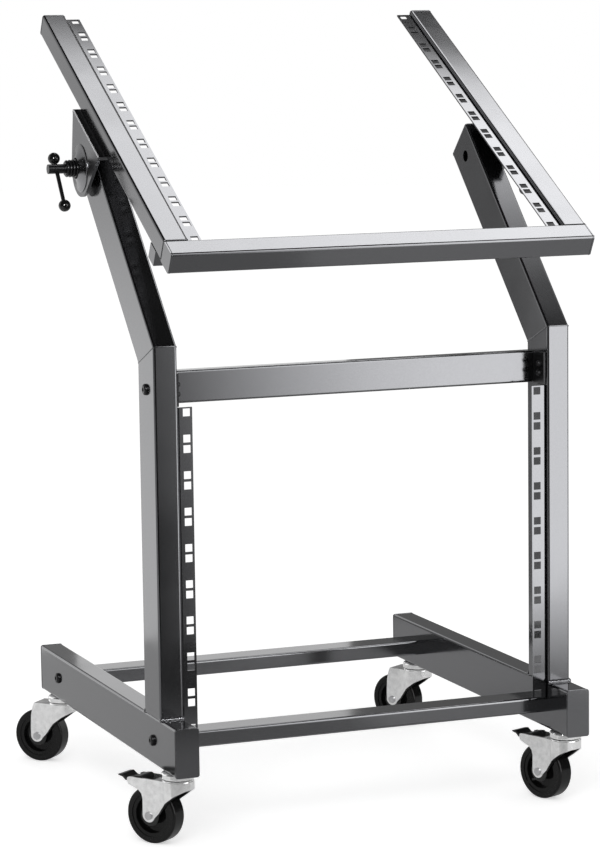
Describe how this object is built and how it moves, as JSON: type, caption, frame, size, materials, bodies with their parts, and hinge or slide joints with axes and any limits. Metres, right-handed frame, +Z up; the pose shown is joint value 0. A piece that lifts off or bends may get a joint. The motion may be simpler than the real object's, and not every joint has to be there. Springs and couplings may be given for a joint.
{
  "type": "rack cart",
  "caption": "Steel cart on swivel casters with upright rack rails below and a tilting rack frame, clamped by cross handles, on leaning arms.",
  "frame": {"origin": "on the floor, under the centre of the bounding box", "axes": "+Z up; +Y from the front crossbar of the tilting rack to the back; +X to the right seen from the front"},
  "size_m": [0.6532, 0.5882, 1],
  "materials": {
    "frame_paint": "semi-gloss powder coat",
    "rail_paint": "semi-gloss powder coat",
    "black_steel": "black oxide",
    "black_screw": "black oxide",
    "plated_steel": "bright zinc plating",
    "zinc_steel": "zinc plating",
    "black_plastic": "satin",
    "ball_plastic": "gloss",
    "wheel_plastic": "satin",
    "tyre": "satin"
  },
  "bodies": {
    "frame": {"foot_left": "frame_paint", "foot_right": "frame_paint", "foot_end_plates": "frame_paint", "upright_left": "frame_paint", "upright_right": "frame_paint", "arm_left": "frame_paint", "arm_right": "frame_paint", "arm_end_plates": "frame_paint", "lower_crossbar_front": "frame_paint", "lower_crossbar_rear": "frame_paint", "crossbar_plugs": "zinc_steel", "upper_crossbar": "frame_paint", "crossbar_end_plates": "black_screw", "rail_lower_left": "rail_paint", "rail_lower_right": "rail_paint", "frame_screws": "black_screw", "crossbar_nuts": "black_screw", "pivot_bushes": "zinc_steel", "caster_stems": "plated_steel", "caster_cups": "plated_steel"},
    "tilt_rack": {"tilt_tube_left": "frame_paint", "tilt_tube_right": "frame_paint", "tilt_crossbar": "frame_paint", "tilt_end_plates": "frame_paint", "rail_upper_left": "rail_paint", "rail_upper_right": "rail_paint", "pivot_bracket_left": "frame_paint", "pivot_bracket_right": "frame_paint", "stop_blocks": "frame_paint", "friction_discs": "black_plastic"},
    "clamp_left": {"clamp_spindle_left": "black_steel", "clamp_collar_left": "black_steel"},
    "handle_left": {"tommy_bar_left": "black_steel", "tommy_balls_left": "ball_plastic"},
    "clamp_right": {"clamp_spindle_right": "black_steel", "clamp_collar_right": "black_steel"},
    "handle_right": {"tommy_bar_right": "black_steel", "tommy_balls_right": "ball_plastic"},
    "caster_front_left": {"fork_front_left": "plated_steel", "axle_front_left": "plated_steel", "guards_front_left": "black_plastic"},
    "wheel_front_left": {"wheel_front_left": "wheel_plastic", "tyre_front_left": "tyre"},
    "brake_left": {"brake_pedal_left": "black_plastic"},
    "caster_front_right": {"fork_front_right": "plated_steel", "axle_front_right": "plated_steel", "guards_front_right": "black_plastic"},
    "wheel_front_right": {"wheel_front_right": "wheel_plastic", "tyre_front_right": "tyre"},
    "brake_right": {"brake_pedal_right": "black_plastic"},
    "caster_rear_left": {"fork_rear_left": "plated_steel", "axle_rear_left": "plated_steel", "guards_rear_left": "black_plastic"},
    "wheel_rear_left": {"wheel_rear_left": "wheel_plastic", "tyre_rear_left": "tyre"},
    "caster_rear_right": {"fork_rear_right": "plated_steel", "axle_rear_right": "plated_steel", "guards_rear_right": "black_plastic"},
    "wheel_rear_right": {"wheel_rear_right": "wheel_plastic", "tyre_rear_right": "tyre"}
  },
  "joints": [
    {"name": "rack_tilt", "type": "hinge", "parent": "frame", "child": "tilt_rack", "pos_m": [0, 0.02311, 0.80937], "axis": [1, 0, 0], "range_deg": [-74.2, 15.8]},
    {"name": "clamp_turn_left", "type": "hinge", "parent": "frame", "child": "clamp_left", "pos_m": [-0.3, 0.02311, 0.80937], "axis": [-1, 0, 0], "range_deg": [-180, 180]},
    {"name": "handle_slide_left", "type": "slide", "parent": "clamp_left", "child": "handle_left", "axis": [0, 0.5878, 0.809], "range_m": [-0.0015, 0.0405]},
    {"name": "clamp_turn_right", "type": "hinge", "parent": "frame", "child": "clamp_right", "pos_m": [0.3, 0.02311, 0.80937], "axis": [1, 0, 0], "range_deg": [-180, 180]},
    {"name": "handle_slide_right", "type": "slide", "parent": "clamp_right", "child": "handle_right", "axis": [0, 0.5878, 0.809], "range_m": [-0.0015, 0.0405]},
    {"name": "swivel_front_left", "type": "hinge", "parent": "frame", "child": "caster_front_left", "pos_m": [-0.26, -0.24056, 0.0815], "axis": [0, 0, 1], "continuous": true},
    {"name": "roll_front_left", "type": "hinge", "parent": "caster_front_left", "child": "wheel_front_left", "pos_m": [-0.27984, -0.21295, 0.0355], "axis": [0.8121, 0.5835, 0], "continuous": true},
    {"name": "brake_press_left", "type": "hinge", "parent": "caster_front_left", "child": "brake_left", "pos_m": [-0.29034, -0.19833, 0.074], "axis": [-0.8121, -0.5835, 0], "range_deg": [0, 15]},
    {"name": "swivel_front_right", "type": "hinge", "parent": "frame", "child": "caster_front_right", "pos_m": [0.26, -0.24056, 0.0815], "axis": [0, 0, 1], "continuous": true},
    {"name": "roll_front_right", "type": "hinge", "parent": "caster_front_right", "child": "wheel_front_right", "pos_m": [0.24721, -0.20906, 0.0355], "axis": [0.9265, 0.3762, 0], "continuous": true},
    {"name": "brake_press_right", "type": "hinge", "parent": "caster_front_right", "child": "brake_right", "pos_m": [0.24044, -0.19238, 0.074], "axis": [-0.9265, -0.3762, 0], "range_deg": [0, 15]},
    {"name": "swivel_rear_left", "type": "hinge", "parent": "frame", "child": "caster_rear_left", "pos_m": [-0.26, 0.23044, 0.0815], "axis": [0, 0, 1], "continuous": true},
    {"name": "roll_rear_left", "type": "hinge", "parent": "caster_rear_left", "child": "wheel_rear_left", "pos_m": [-0.28387, 0.25465, 0.0355], "axis": [0.712, 0.7022, 0], "continuous": true},
    {"name": "swivel_rear_right", "type": "hinge", "parent": "frame", "child": "caster_rear_right", "pos_m": [0.26, 0.23044, 0.0815], "axis": [0, 0, 1], "continuous": true},
    {"name": "roll_rear_right", "type": "hinge", "parent": "caster_rear_right", "child": "wheel_rear_right", "pos_m": [0.24203, 0.2593, 0.0355], "axis": [0.849, 0.5284, 0], "continuous": true}
  ]
}
